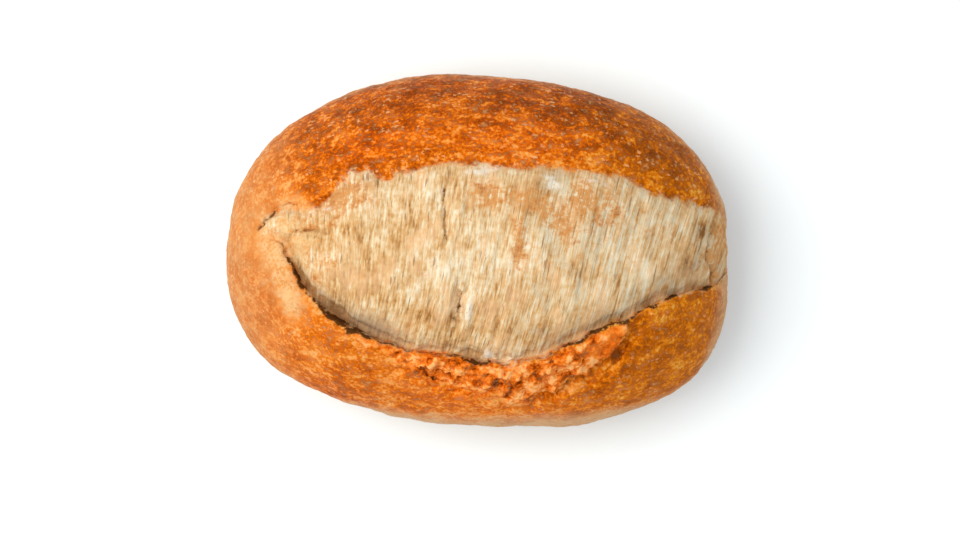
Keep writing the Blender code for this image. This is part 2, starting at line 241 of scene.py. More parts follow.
def relief(piece, name, group, height, kind=None, size=1.0, stretch=(1, 1, 1), fibres=False, middle=0.5,
           way="NORMAL", **settings):
    """Moves the surface by a pattern where the group is, and fixes it in the mesh."""
    push = piece.modifiers.new(name, "DISPLACE")
    push.direction = way
    push.strength = height * MM
    push.mid_level = middle
    push.vertex_group = group
    grid = None
    if kind:
        push.texture = bpy.data.textures.new(name, kind)
        for key, value in settings.items():
            setattr(push.texture, key, value)
        push.texture.noise_scale = size if fibres else 1.0
    if kind and fibres:
        push.texture_coords = "UV"
        push.uv_layer = "fibres"
    elif kind:
        grid = bpy.data.objects.new(name, None)
        grid.scale = [size * MM * s for s in stretch]
        bpy.context.scene.collection.objects.link(grid)
        bpy.context.view_layer.update()
        push.texture_coords = "OBJECT"
        push.texture_coords_object = grid
    pick(piece)
    bpy.ops.object.modifier_apply(modifier=push.name)
    if grid:
        bpy.data.objects.remove(grid)


def soften(piece, group, rounds, factor=0.9):
    """Evens the surface out where the group is, and fixes it in the mesh."""
    calm = piece.modifiers.new("calm", "SMOOTH")
    calm.factor = factor
    calm.iterations = rounds
    if group:
        calm.vertex_group = group
    pick(piece)
    bpy.ops.object.modifier_apply(modifier=calm.name)


def keep(piece, name, values):
    """A value for every point, kept with the mesh for its material to read."""
    kept = piece.data.attributes.new(name, "FLOAT", "POINT")
    kept.data.foreach_set("value", np.asarray(values, np.float32))


shaped = per_point(roll) / MM
x, y, z = shaped.T
flat = shaped[:, :2]
from_front = distance(flat, torn(smooth_line(FRONT_EDGE), *FRONT_RAGGED, RAGGED_ENDS))
from_back = -distance(flat, torn(smooth_line(BACK_EDGE), *BACK_RAGGED, RAGGED_ENDS))
upper = between(z, *WAIST)
lowest, middle, climb = CUT_END
above_end = z - lowest - np.where(x < CUT_END_FROM, 0, climb * (y - middle) ** 2)
inset = np.interp(x, *np.transpose(PALE_INSET))
in_cut = np.minimum.reduce((from_front - NOSE, from_back - inset, above_end, x - CUT_FROM))

# The fibres run to the front edge and lean to the left there, and more so towards the right.
lean_from, lean, growth = FIBRE_LEAN
curl_from, curl = FIBRE_CURL
across = x - (lean + growth * (x - lean_from)) * y + curl * np.minimum(0, y - curl_from) ** 2
fibre_map = roll.data.uv_layers.new(name="fibres")
corners = np.empty(len(roll.data.loops), np.int32)
roll.data.loops.foreach_get("vertex_index", corners)
more_from, more_to, more = STRETCH_MORE
downwards = y / FIBRE_STRETCH * (1 - more * between(x, more_from, more_to))
fibre_map.uv.foreach_set("vector", (np.stack((across, downwards), 1)[corners] / 2).ravel())

furthest = max(far for _, far in PULLED)
pulled = np.interp(x, *np.transpose(PULLED)) * np.exp(-(from_front / PULL_REACH) ** 2) * upper
weigh(roll, "pulled", pulled / furthest)
relief(roll, "pulled", "pulled", -furthest, middle=0.0, way="Y")

# At the left tip the skin didn't part all the way: a thin film of it is left on the ridge, and the
# step between lip and ridge runs out there. Low down, the middle of both ends is evened out as well.
SKINNED = (
    (-42.0, 3.5, 7.5, 7.5, 0, 1.0), (-45.2, -5.0, 2.8, 8.0, 22, 1.0),
    (-42.0, -12.8, 2.6, 4.0, 40, 0.8),
)
HEALED = ((-48.0, 1.5, 4.5, 3.5, 0, 1.5), (-52.0, 4.0, 3.0, 3.0, 0, 0.9), (-55.0, 1.0, 3.5, 3.5, 0, 1.5))
LOW_ENDS = (34.0, 39.0)
LOW_ENDS_WIDE = 5.0
skinned = patches(flat, SKINNED) * upper
weigh(roll, "healed", np.clip(patches(flat, HEALED), 0, 1) * upper)
soften(roll, "healed", 60)
weigh(roll, "low ends", np.exp(-(y / LOW_ENDS_WIDE) ** 2) * between(abs(x), *LOW_ENDS) * (1 - upper))
soften(roll, "low ends", 90)

weigh(roll, "ridge", between(in_cut, -0.4, 1.6) * (1 - 0.75 * np.clip(skinned, 0, 1)))
relief(roll, "ropes", "ridge", 0.7, "CLOUDS", size=2.4, fibres=True, noise_depth=1)
relief(roll, "fibres", "ridge", 0.65, "CLOUDS", size=1.1, fibres=True, noise_depth=2)
relief(roll, "crumb", "ridge", 0.55, "CLOUDS", size=1.4, noise_depth=2)

# Just inside the lip the ridge ends in a rough ledge, with a few crumbs standing on it.
LEDGE = (2.2, 1.8)  # its middle's distance from the front edge, and its half width
LEDGE_ENDS = (-26.0, -18.0, 14.0, 26.0)  # along the roll: it begins, is full, fades, ends
CRUMBS = (
    (2.6, -22.0, 1.1, 1.0, 0, 1.0), (4.3, -22.8, 0.7, 0.7, 0, 0.7), (8.5, -22.6, 1.1, 1.3, 0, 1.0),
    (10.4, -22.2, 0.6, 0.8, 0, 0.7), (-3.4, -21.3, 0.8, 0.7, 0, 0.6),
    (-13.0, -20.8, 1.0, 0.7, 0, 0.6),
)
ledge = np.exp(-((from_front - LEDGE[0]) / LEDGE[1]) ** 2) * upper
weigh(roll, "ledge", ledge * part(x, *LEDGE_ENDS))
soften(roll, "ledge", 25)
relief(roll, "flutes", "ledge", 1.0, "CLOUDS", size=1.6, fibres=True, noise_depth=1)
relief(roll, "lumps of crumb", "ledge", 1.0, "CLOUDS", size=1.9, noise_depth=2)
weigh(roll, "crumbs", np.clip(patches(flat, CRUMBS), 0, 1) * upper)
relief(roll, "crumbs", "crumbs", 0.9, middle=0.0)

# Under the lip the gap gapes by turns, and shade is painted into it: along the roll, how wide and
# how dark the painted shade is there.
GAPE = (
    (-47.0, 0.3, 0.0), (-43.0, 0.5, 0.6), (-40.5, 0.75, 1.0), (-38.0, 0.5, 0.5),
    (-36.5, 0.75, 0.85), (-33.0, 1.05, 1.0), (-29.0, 0.8, 1.0), (-22.0, 0.45, 0.6),
    (-14.0, 0.4, 0.4), (-6.0, 0.35, 0.55), (0.0, 0.6, 1.0), (3.0, 0.4, 0.6), (9.0, 0.3, 0.3),
    (16.0, 0.35, 0.4), (22.0, 0.5, 0.75), (30.0, 0.6, 0.85), (35.0, 0.55, 0.8), (38.5, 0.35, 0.45),
    (40.6, 0.6, 1.0), (42.3, 0.35, 0.4), (44.5, 0.6, 1.0), (46.5, 0.35, 0.4), (50.8, 0.4, 0.5),
    (52.6, 0.7, 1.0), (54.5, 0.4, 0.5), (57.0, 0.35, 0.5),
)
gape_along, gape_wide, gape_dark = np.transpose(GAPE)
gape = np.exp(-((from_front - NOSE) / np.interp(x, gape_along, gape_wide)) ** 2)
gape = gape * np.interp(x, gape_along, gape_dark) * between(above_end, -1.0, 1.0)

# The soft ovals in which the ridge is toasted, floury, deeper in tone, partly as painted shade near the
# lip, or given painted shade under the lip. Where the strength is below 0 it is lighter instead, and
# the last two of those are in the torn crust.
TOASTED = (
    (2.8, 12.8, 5.0, 2.8, 0, 1.3), (12.1, 11.1, 4.0, 2.8, -20, 1.0),
    (18.5, 6.5, 6.0, 2.8, -52, 1.3), (9.8, 1.0, 2.2, 6.5, 0, 1.2), (23.7, 12.4, 2.4, 3.2, 0, 1.2),
    (27.5, 10.0, 8.0, 6.5, -15, 0.9), (-31.0, 12.0, 6.0, 4.0, 40, 1.4),
    (-35.0, -1.5, 4.5, 3.5, 0, 1.0), (4.0, 11.5, 5.0, 4.0, 0, 0.4),
    (-38.0, 6.5, 4.0, 1.8, -12, 0.9), (-41.0, 4.2, 1.4, 1.2, 0, 0.8),
    (-24.0, 12.5, 5.0, 2.5, 20, 0.5), (-36.0, -8.0, 5.0, 3.0, -35, 0.6),
    (53.5, -3.3, 1.3, 6.0, 8, 1.0), (55.8, 3.0, 2.0, 9.0, 0, 0.8), (43.0, 5.0, 5.0, 4.0, -30, 0.4),
    (-12.0, -17.5, 8.0, 2.5, 0, 0.4), (14.0, -19.5, 7.0, 2.0, 10, 0.4),
)
FLOURED = (
    (2.0, 18.2, 6.0, 1.4, 8, 1.0), (17.5, 15.6, 3.0, 2.2, -30, 1.1),
    (28.0, 15.4, 4.0, 1.6, -20, 0.6), (-24.0, 16.5, 4.0, 2.2, 20, 0.6),
    (-8.0, 13.0, 4.0, 3.0, 0, 0.5), (-34.0, 9.4, 7.0, 1.0, -5, 0.5), (2.8, -22.2, 1.8, 1.5, 0, 1.1),
    (8.6, -22.8, 1.8, 1.6, 0, 1.1), (-12.0, -3.0, 9.0, 7.0, 0, 0.35),
    (-1.7, -14.0, 0.9, 4.0, -10, 0.9), (-4.0, -5.0, 8.0, 8.0, 0, 0.3),
)
# Deeper in tone: partly the crumb's own colour, and near the lip partly painted shade.
DEEPER_AND_SHADED = (
    (-26.0, -9.0, 12.0, 8.0, -35, 0.16), (-6.0, -17.0, 20.0, 4.5, -4, 0.24),
    (-16.0, 4.0, 8.0, 12.0, 0, 0.05), (50.0, 0.0, 5.0, 9.0, 0, 0.30), (51.6, 4.4, 1.4, 2.0, 0, 0.6),
    (30.0, -12.0, 14.0, 3.5, 24, 0.14), (47.0, -4.5, 4.0, 2.0, 40, 0.15),
    (8.0, 12.0, 24.0, 5.0, 0, 0.10), (-40.0, -2.0, 9.0, 10.0, 0, 0.12),
    (-6.0, -5.0, 9.0, 9.0, 0, -0.13), (13.0, -10.0, 6.0, 5.0, 0, 0.15),
    (39.0, -5.0, 8.0, 5.0, 20, -0.12), (55.5, 1.0, 2.5, 9.0, 0, 0.25),
    (-20.0, 0.0, 9.0, 9.0, 0, 0.06), (23.0, -24.0, 6.0, 4.0, 30, -0.14),
    (-25.0, -21.5, 5.0, 2.5, -30, -0.15),
)
SHADED = ((-24.0, -17.0, 9.0, 2.6, -28, 0.8), (48.0, -4.0, 6.0, 3.0, 20, 0.25))
keep(roll, "in_cut", np.clip(in_cut, -20, 20))
keep(roll, "skinned", skinned)
keep(roll, "gape", gape)
keep(roll, "toasted", patches(flat, TOASTED))
keep(roll, "floured", patches(flat, FLOURED))
keep(roll, "deeper", patches(flat, DEEPER_AND_SHADED))
keep(roll, "shaded", patches(flat, SHADED))


class Shade:
    """A socket in a material. Arithmetic on it adds Math nodes, and add() adds any other node."""

    def __init__(self, tree, socket=None):
        self.tree, self.socket = tree, socket

    def add(self, kind, settings=None, inputs=None, output=0):
        node = self.tree.nodes.new("ShaderNode" + kind)
        for name, value in (settings or {}).items():
            if name == "stops":
                while len(node.color_ramp.elements) < len(value):
                    node.color_ramp.elements.new(1.0)
                for element, (place, colour) in zip(node.color_ramp.elements, value):
                    element.position = place
                    element.color = (*colour, 1.0)
            else:
                setattr(node, name, value)
        for key, value in (inputs or {}).items():
            if isinstance(value, Shade):
                self.tree.links.new(value.socket, node.inputs[key])
            else:
                node.inputs[key].default_value = value
        return Shade(self.tree, node.outputs[output]) if node.outputs else None

    def maths(self, operation, *values):
        return self.add("Math", {"operation": operation}, dict(enumerate(values)))

    def __add__(self, other):
        return self.maths("ADD", self, other)

    def __sub__(self, other):
        return self.maths("SUBTRACT", self, other)

    def __rsub__(self, other):
        return self.maths("SUBTRACT", other, self)

    def __mul__(self, other):
        return self.maths("MULTIPLY", self, other)

    __radd__, __rmul__ = __add__, __mul__

    def between(self, low, high):
        """0 below low, 1 above high, and a smooth climb between them."""
        inputs = {"Value": self, "From Min": low, "From Max": high}
        return self.add("MapRange", {"interpolation_type": "SMOOTHSTEP"}, inputs)

    def mix(self, one, other):
        """The colour one where this is 0, and the other where it is 1."""
        one, other = ((*value, 1.0) if isinstance(value, tuple) else value for value in (one, other))
        return self.add("Mix", {"data_type": "RGBA"}, {0: self, 6: one, 7: other}, output=2)


def shading(name):
    """A new material and the starting point of its nodes."""
    material = bpy.data.materials.new(name)
    material.use_nodes = True
    material.node_tree.nodes.clear()
    return material, Shade(material.node_tree)


CRUMB_TONES = (
    (0.00, (0.77, 0.66, 0.48)),
    (0.25, (0.69, 0.52, 0.31)),
    (0.55, (0.57, 0.34, 0.145)),
    (0.80, (0.40, 0.19, 0.060)),
    (1.00, (0.20, 0.08, 0.020)),
)
TOAST = (0.58, 0.26, 0.080)
TOAST_DEEP = (0.42, 0.135, 0.030)
PEACH = (0.76, 0.47, 0.25)
DULL = (0.56, 0.48, 0.33)
FLOUR = (0.82, 0.76, 0.63)
FIBRE_SHADE = (0.30, 0.15, 0.06)
SHADE_GREY = (0.34, 0.25, 0.17)
SKIN = (0.70, 0.46, 0.215)
SCORCH = (0.66, 0.29, 0.085)
# the dark of the shade painted into the gap under the lip
GAP_SHADE = (0.085, 0.030, 0.007)

# The whole roll has one material. Its patterns lie in millimetres in the dough, and those of the
# ridge follow its fibres.
material, start = shading("crust and open cut")
place = start.add("TexCoord", output=3)
mm = start.add("VectorMath", {"operation": "SCALE"}, {0: place, "Scale": 1 / MM})
along = start.add("SeparateXYZ", None, {0: mm}, 0)
to_back = start.add("SeparateXYZ", None, {0: mm}, 1)
up = start.add("SeparateXYZ", None, {0: mm}, 2)
fibre_place = start.add("VectorMath", {"operation": "SCALE"}, {
    0: start.add("UVMap", {"uv_map": "fibres"}), "Scale": 2.0})


def held(name):
    """A value that was kept with the mesh."""
    return start.add("Attribute", {"attribute_name": name}, None, 2)


def grain(size, detail=2.0, rough=0.5, at=mm):
    """Noise from 0 to 1 with features of that size in millimetres."""
    inputs = {"Vector": at, "Scale": 1 / size, "Detail": detail, "Roughness": rough}
    return start.add("TexNoise", None, inputs)


def stretched(*shares):
    """The place in the dough, with its measures changed by those shares."""
    return start.add("Mapping", None, {"Vector": mm, "Scale": shares})


cut, tearing, gap = held("in_cut"), held("in_torn"), held("gape")
rise, fine_rise = held("relief"), held("fine_relief")

blotch = grain(5.0, 3.0, 0.55, stretched(0.6, 1, 1))
mottle = grain(1.8, 3.0, 0.6, stretched(0.7, 1, 1))
speck = grain(0.95, 1.5, 0.5, stretched(0.75, 1, 1))
small_speck = grain(0.5, 1.0, 0.5)
pore = grain(0.75, 2.0, 0.6)
patch = grain(3.0, 2.0, 0.5, stretched(0.7, 1, 1))

fine_fibre = grain(0.55, 2.0, 0.6, fibre_place)
fibre = grain(1.1, 3.0, 0.6, fibre_place)
slot = grain(0.8, 1.0, 0.5, fibre_place)
crumb_patch = grain(7.0, 3.0, 0.55)
warmth = grain(5.0, 3.0, 0.6, stretched(1, 0.6, 1))
fleck = fibre - 0.5 + (fine_fibre - 0.5) * 0.9 + (speck - 0.5) * 0.45
# Sunken places of the ridge are painted darker and raised ones lighter, as painted shade and light.
tone = 0.40 + fleck + (crumb_patch - 0.5) * 1.1 - rise * 0.10 - fine_rise * 0.25 + held("deeper")
crumb = start.add("ValToRGB", {"stops": CRUMB_TONES}, {0: tone})
warmth = warmth + fleck * 0.25
crumb = (warmth.between(0.50, 0.66) * 0.5).mix(crumb, PEACH)
dulled = (1 - warmth.between(0.34, 0.50)) * along.between(-10.0, 25.0)
crumb = (dulled * 0.5).mix(crumb, DULL)
stain = fleck * 1.2 + (patch - 0.5) * 1.6 + (mottle - 0.5) * 3.4 + (pore - 0.5) * 2.4
toasting = held("toasted") * (0.78 + stain)
crumb = (toasting.between(0.1, 1.05) * 0.9).mix(crumb, stain.between(0.1, 1.3).mix(TOAST, TOAST_DEEP))
dusting = held("floured") + (mottle - 0.5) * 1.8 + fleck * 0.6
crumb = (dusting.between(0.45, 1.1) * 0.7).mix(crumb, FLOUR)
# painted shade in narrow slots between the fibres
crumb = (slot.between(0.66, 0.72) * 0.7).mix(crumb, FIBRE_SHADE)
# painted shade under the lip
crumb = (held("shaded") * 0.75).mix(crumb, SHADE_GREY)

film = (0.5 + (patch - 0.5) * 2.0 + (pore - 0.5) * 3.0).between(0.2, 0.9).mix(SKIN, SCORCH)
filmed = (held("skinned") + (mottle - 0.5) * 2.4 + (pore - 0.5) * 2.0).between(0.1, 1.1)
filmed = filmed * 0.8 * (1 - toasting.between(0.2, 0.8))


# ---- The torn crust under the front lip ----------------------------------------------------------
# Where the rising dough dragged the cut's front edge up, the skin below it tore and baked into a
# rough, bright band. A crease closes it off towards the front, and it is calmer at its right end.

TORN_EDGE = (  # the crease that ends it, from left to right
    (-32.0, -19.4), (-27.0, -22.0), (-22.0, -24.0), (-18.7, -25.6), (-15.3, -27.8), (-9.4, -30.6),
    (3.9, -34.0), (8.0, -34.8), (15.1, -33.4), (21.5, -31.0), (26.8, -28.0), (29.6, -24.8),
    (32.6, -20.2), (36.0, -15.6), (39.5, -11.0),
)
TORN_RAGGED = (1.6, 3.0, 5.3)
TORN_ENDS = (-31.0, -24.0, 37.0, 39.0)  # along the roll: it begins, is full, fades, ends
CRAGGY = (-30.0, -18.0)  # its lumps grow from none to full between these
SMOOTHER = (20.0, 30.0, 0.8)  # and between these they shrink, by this share
SHARPER = (14.0, 26.0)  # between these its edge narrows from the first width below to the second
EDGE_WIDTHS = (2.2, 1.1)
CREASE = (  # along the roll, and how deep the crease is there as a share of its depth
    (-22.0, 0.0), (-12.0, 0.6), (2.0, 0.3), (8.0, 0.3), (18.0, 0.9), (26.0, 0.8), (33.0, 0.5),
    (40.0, 0.0),
)
CREASE_DEPTH = 2.0

from_crease = distance(flat, torn(smooth_line(TORN_EDGE), *TORN_RAGGED))
edge_width = EDGE_WIDTHS[0] - (EDGE_WIDTHS[0] - EDGE_WIDTHS[1]) * between(x, *SHARPER)
in_torn = between(from_crease, 0.2, edge_width) * between(-from_front, -0.8, 0.8) * upper
in_torn = in_torn * part(x, *TORN_ENDS)
smoother_from, smoother_to, smoother = SMOOTHER
craggy = between(x, *CRAGGY) * (1 - smoother * between(x, smoother_from, smoother_to))
weigh(roll, "torn", in_torn * craggy)
relief(roll, "lumps", "torn", 2.4, "CLOUDS", size=5.0, middle=0.3, noise_depth=2,
       noise_type="HARD_NOISE")
relief(roll, "shreds", "torn", 1.1, "CLOUDS", size=2.0, fibres=True, noise_depth=1,
       noise_type="HARD_NOISE")
relief(roll, "crags", "torn", 1.3, "CLOUDS", size=1.5, noise_depth=2)
creased = np.exp(-((from_crease + 0.3) / 0.8) ** 2) * np.interp(x, *np.transpose(CREASE)) * upper
weigh(roll, "crease", creased)
relief(roll, "crease", "crease", -CREASE_DEPTH, middle=0.0)

# Both edges of the cut are nibbled and frayed, the front one most.
RIMS_FROM = (-52.0, -46.0)
rims = between(above_end, 1.0, 8.0) * between(x, *RIMS_FROM)
weigh(roll, "lip", np.exp(-((from_front + 0.3) / 1.2) ** 2) * rims)
relief(roll, "nibbled", "lip", 1.1, "CLOUDS", size=1.6, noise_depth=2)
weigh(roll, "back_rim", np.exp(-((from_back + 0.2) / 1.1) ** 2) * rims)
relief(roll, "frayed", "back_rim", 0.8, "CLOUDS", size=1.5, noise_depth=2)
keep(roll, "in_torn", in_torn)

TORN_TONES = (
    (0.00, (0.88, 0.40, 0.13)),
    (0.22, (0.84, 0.24, 0.035)),
    (0.48, (0.72, 0.150, 0.010)),
    (0.75, (0.50, 0.085, 0.003)),
    (1.00, (0.20, 0.030, 0.001)),
)
torn_zone = grain(4.0, 1.0)
# The crags are painted lighter on their peaks and darker in their pits, as painted highlight and shade.
rough = 0.53 + held("deeper") - rise * 0.16 - fine_rise * 0.8
rough = rough + (pore - 0.5) * 1.6 + (mottle - 0.5) * 1.6 + (torn_zone - 0.5) * 2.8
rough = rough - (rough - 0.42) * along.between(22.0, 32.0) * 0.45
torn_crust = start.add("ValToRGB", {"stops": TORN_TONES}, {0: rough})


# ---- Folds and tears -----------------------------------------------------------------------------
# The skin split in a few short lines: a crack and a fold where the blade went in at the left end,
# a crease in the torn band and a sharp fold at its right end, and tears across the ridge.

# Each with the points of its line, its half width, its depth, which is below 0 for what stands up, and
# how dark the shade painted into it is.
TEARS = {
    "tip crack": (((-50.6, 3.9), (-48.2, 6.6), (-45.4, 9.6)), 0.32, 0.5, 0.65),
    "tip nick": (((-53.2, 3.6), (-51.8, 2.6), (-50.6, 3.0)), 0.32, 0.3, 0.5),
    "tip edge": (((-45.4, 9.8), (-41.5, 10.6), (-37.5, 10.4)), 0.4, 0.5, 0.45),
    "tip fold": (((-43.4, -2.0), (-43.6, 1.6), (-41.5, 4.6), (-37.5, 5.4), (-33.0, 3.6)), 0.6, 0.7, 0.35),
    "short crease": (((-12.5, -27.4), (-8.5, -29.8), (-4.0, -31.0)), 0.7, 1.1, 0.5),
    "side fold": (((37.6, -15.6), (34.4, -20.2), (31.2, -25.2), (28.6, -28.4)), 1.3, 1.3, 0.35),
    "fold edge": (((35.0, -15.8), (31.6, -20.4), (28.8, -24.6)), 0.9, -0.9, 0.0),
    "back tear": (((-7.4, 15.5), (-7.2, 8.0), (-7.5, 0.5)), 0.45, 0.9, 0.6),
    "front tear": (((-3.0, -9.0), (-3.6, -12.0), (-5.0, -17.0)), 1.2, 1.4, 0.6),
    "front flap": (((-1.2, -10.0), (-1.9, -14.0), (-3.4, -18.0)), 0.7, -0.7, 0.0),
    "end tear": (((54.0, 5.0), (53.0, 0.0), (54.2, -7.5)), 0.5, 0.7, 0.5),
}
TEAR_WANDER = (0.55, 2.6)  # how far each strays from its line, and over what length
# The crease and the tears are darkened with painted shade, to this share in the crease.
CREASE_SHADE = 0.45
cracked = CREASE_SHADE * creased

for number, (name, (points, half_width, depth, dark)) in enumerate(TEARS.items()):
    line = torn(smooth_line(points), *TEAR_WANDER, number + 0.5)
    from_ends = np.minimum(*(np.linalg.norm(flat - end, axis=1) for end in (line[0], line[-1])))
    share = np.exp(-(distance(flat, line) / half_width) ** 2) * between(from_ends, 0.0, 1.5) * upper
    weigh(roll, name, share)
    relief(roll, name, name, -depth, middle=0.0)
    cracked = np.maximum(cracked, share * dark)

keep(roll, "cracked", cracked)

# the dark of the shade painted into the cracks, tears and creases
CRACK_SHADE = (0.15, 0.060, 0.018)


# ---- The crust -----------------------------------------------------------------------------------
# The skin of the dough, dried and browned. It is uneven over a centimetre or so, finely blistered,
# and darkest at the back and the right, which were nearest to the oven's heat.

weigh(roll, "crust", between(-in_cut, 0.4, 2.0) * between(z, 0.3, 5.0))
relief(roll, "dimples", "crust", 0.8, "CLOUDS", size=8.0, noise_depth=1)
relief(roll, "wrinkles", "crust", -0.35, "CLOUDS", size=2.6, stretch=(1.6, 1, 1), noise_depth=2,
       noise_type="HARD_NOISE")
relief(roll, "blisters", "crust", 0.3, "CLOUDS", size=1.5, noise_depth=2)


def above_smoothed(piece, rounds):
    """How far each point stands above the same surface smoothed, in millimetres."""
    pick(piece)
    bpy.ops.object.duplicate()
    smoothed = bpy.context.object
    soften(smoothed, None, rounds, 0.8)
    above = ((per_point(piece) - per_point(smoothed)) * per_point(smoothed, "normal")).sum(axis=1) / MM
    bpy.data.objects.remove(smoothed)
    return above


# The soft ovals in which the crust is browner, or paler where the strength is below 0, and those in
# which it is a redder orange, and brighter as painted light on the front and back slopes.
BAKED = (
    (-52.0, 5.0, 6.0, 5.0, 0, -0.08), (-26.0, 24.0, 9.0, 5.0, 20, 0.07),
    (-37.0, 27.0, 6.0, 5.0, 35, 0.09), (0.0, -28.0, 16.0, 5.0, 0, -0.06),
    (22.0, -24.0, 12.0, 4.0, 30, -0.08), (0.0, 38.0, 42.0, 8.0, 0, 0.08),
    (-33.0, 16.0, 5.0, 6.0, -30, 0.08), (-5.0, 21.5, 8.0, 2.0, 0, 0.04),
    (42.0, 22.0, 9.0, 6.0, -40, 0.08), (-52.0, -14.0, 6.0, 8.0, 40, 0.06),
    (-46.0, 12.0, 9.0, 12.0, 0, -0.10), (-30.0, -22.0, 16.0, 10.0, -35, -0.03),
    (0.0, -36.0, 24.0, 5.0, 0, -0.03), (-16.0, 26.0, 14.0, 7.0, 10, 0.03),
    (32.0, -20.0, 18.0, 12.0, 30, 0.06), (34.0, 23.0, 14.0, 7.0, -25, 0.05),
    (-18.0, 35.5, 12.0, 4.5, 0, 0.12), (12.0, 38.5, 8.0, 3.0, 0, -0.10),
    (22.0, 19.5, 15.0, 3.5, -6, -0.19), (20.0, 25.0, 9.0, 4.0, 0, -0.04),
    (21.0, 32.0, 16.0, 4.5, -15, 0.16), (-13.0, 25.0, 11.0, 3.5, 0, -0.09),
    (-41.0, 25.0, 6.0, 4.0, 35, 0.09), (23.0, -26.0, 7.0, 5.0, 30, -0.20),
    (9.0, -33.0, 7.0, 3.5, 5, -0.13), (-32.0, -33.0, 7.0, 5.0, -35, 0.14),
    (-33.0, 19.0, 5.0, 3.0, 20, -0.08), (41.0, -15.0, 9.0, 2.2, 20, -0.10),
    (38.0, -27.0, 6.0, 5.0, 35, 0.06),
)
REDDER_AND_LIT = (
    (-24.0, 24.0, 11.0, 4.5, 15, 1.0), (12.0, 25.0, 22.0, 6.0, -5, 1.0),
    (0.0, -30.0, 14.0, 6.0, -5, 1.2), (-12.0, -24.0, 14.0, 4.0, -15, 0.6),
    (24.0, -24.0, 9.0, 4.0, 30, 0.8),
)
keep(roll, "vivid", patches(flat, REDDER_AND_LIT))
keep(roll, "baked", patches(flat, BAKED))
# Both heights are kept for the material, which paints shade into hollows and light onto crests with them.
keep(roll, "relief", above_smoothed(roll, 60))
keep(roll, "fine_relief", above_smoothed(roll, 6))
roll.vertex_groups.clear()

# Its top leans in a little more than the fixed solid's, from the waist up.
LEAN_IN = 0.06  # as a share of its width, over its whole height
LEAN_FROM = 0.39  # as a share of its height
lean_in = roll.modifiers.new("lean in", "SIMPLE_DEFORM")
lean_in.deform_method = "TAPER"
lean_in.deform_axis = "Z"
lean_in.factor = -LEAN_IN
lean_in.limits = (LEAN_FROM, 1.0)
pick(roll)
bpy.ops.object.modifier_apply(modifier=lean_in.name)

# The surface now stands a little proud, so it is brought back to the size of the fixed solid.
low, high = (np.array(corner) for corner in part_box("bread_roll"))
now = per_point(roll)
shares = (high - low) / (now.max(axis=0) - now.min(axis=0))
pick(roll)
bpy.ops.transform.resize(value=shares, center_override=(0, 0, 0))
bpy.ops.object.transform_apply(location=False, rotation=False, scale=True)
now = per_point(roll)
bpy.ops.transform.translate(value=(low + high - now.max(axis=0) - now.min(axis=0)) / 2)
bpy.ops.object.transform_apply(location=True, rotation=False, scale=False)

CRUST_BROWNING = (
    (0.00, (0.74, 0.36, 0.12)),
    (0.24, (0.70, 0.255, 0.052)),
    (0.36, (0.66, 0.168, 0.009)),
    (0.46, (0.58, 0.119, 0.0035)),
    (0.54, (0.480, 0.089, 0.0020)),
    (0.64, (0.36, 0.063, 0.0012)),
    (0.76, (0.26, 0.043, 0.001)),
    (1.00, (0.12, 0.020, 0.001)),
)
REDDER_AND_LIT_SHARE = (1.09, 0.93, 0.6)  # how the browning differs where it is redder and brighter
OCHRE_SHARE = (0.97, 1.28, 1.0)  # and at the right, where it is yellower
SPECK = (0.80, 0.40, 0.16)
SIDE = (0.57, 0.345, 0.175)
SIDE_TAN = (0.50, 0.235, 0.090)
TRAY = (0.33, 0.125, 0.036)
TRAY_PALE = (0.46, 0.215, 0.078)
END = (0.575, 0.290, 0.110)
END_TAN = (0.49, 0.150, 0.032)
# the dark of the shade painted into hollows
HOLLOW_SHADE = (0.10, 0.035, 0.010)
SHEEN = 0.04
SHEEN_TINT = (1.0, 0.50, 0.06, 1.0)
PALE_END = (-56.0, -36.0)  # along the roll: the left end took less heat, and the least at its tip
YELLOWER = (6.0, 50.0)  # and towards the right it turns yellower
PALE_SIDE = (12.5, 24.5)  # the heights between which the pale side turns into the browned top
TRAY_RIM = (0.5, 7.0)  # the heights between which the base's brown from the tray ends


def spots(size, radius, share, at):
    """Scattered soft spots, which only that share of the places has."""
    jogged = start.add("VectorMath", {"operation": "ADD"}, {
        0: at, 1: start.add("TexNoise", None, {"Vector": at, "Scale": 2.5 / size, "Detail": 1.0}, 1)})
    cells = {"Vector": jogged, "Scale": 1 / size}
    near = start.add("TexVoronoi", None, cells)
    chosen = start.add("SeparateXYZ", None, {0: start.add("TexVoronoi", None, cells, 1)})
    return (1 - near.between(radius * 0.6, radius)) * (1 - chosen.between(share - 0.02, share + 0.02))


flock = grain(4.5, 2.0)
lively = 0.45 + along.between(-56.0, -38.0) * 0.55
lively = lively * (1.1 + to_back.between(-20.0, 10.0) * 0.2) * (1 - along.between(20.0, 45.0) * 0.2)
varied = (blotch - 0.5) * 0.55 + (patch - 0.5) * 0.5 + (mottle - 0.5) * 0.9 + (pore - 0.5) * 0.9
bake = 0.49 + to_back * 0.0010 + along * 0.0012 + varied * lively
# Raised crust is painted paler and sunken crust browner, as painted highlight and shade.
bake = bake - rise * 0.03 - fine_rise * 0.3 + held("baked")
crust = start.add("ValToRGB", {"stops": CRUST_BROWNING}, {0: bake})
ochre = start.add("VectorMath", {"operation": "MULTIPLY"}, {0: crust, 1: OCHRE_SHARE})
crust = (along.between(*YELLOWER) * 0.9).mix(crust, ochre)
# partly a redder crust, partly painted light on the front and back slopes
redder_and_lit_crust = start.add("VectorMath", {"operation": "MULTIPLY"}, {0: crust, 1: REDDER_AND_LIT_SHARE})
crust = held("vivid").between(0.0, 1.0).mix(crust, redder_and_lit_crust)

mosaic = 0.5 + (blotch - 0.5) * 0.6 + (patch - 0.5) * 0.9 + (mottle - 0.5) * 1.6
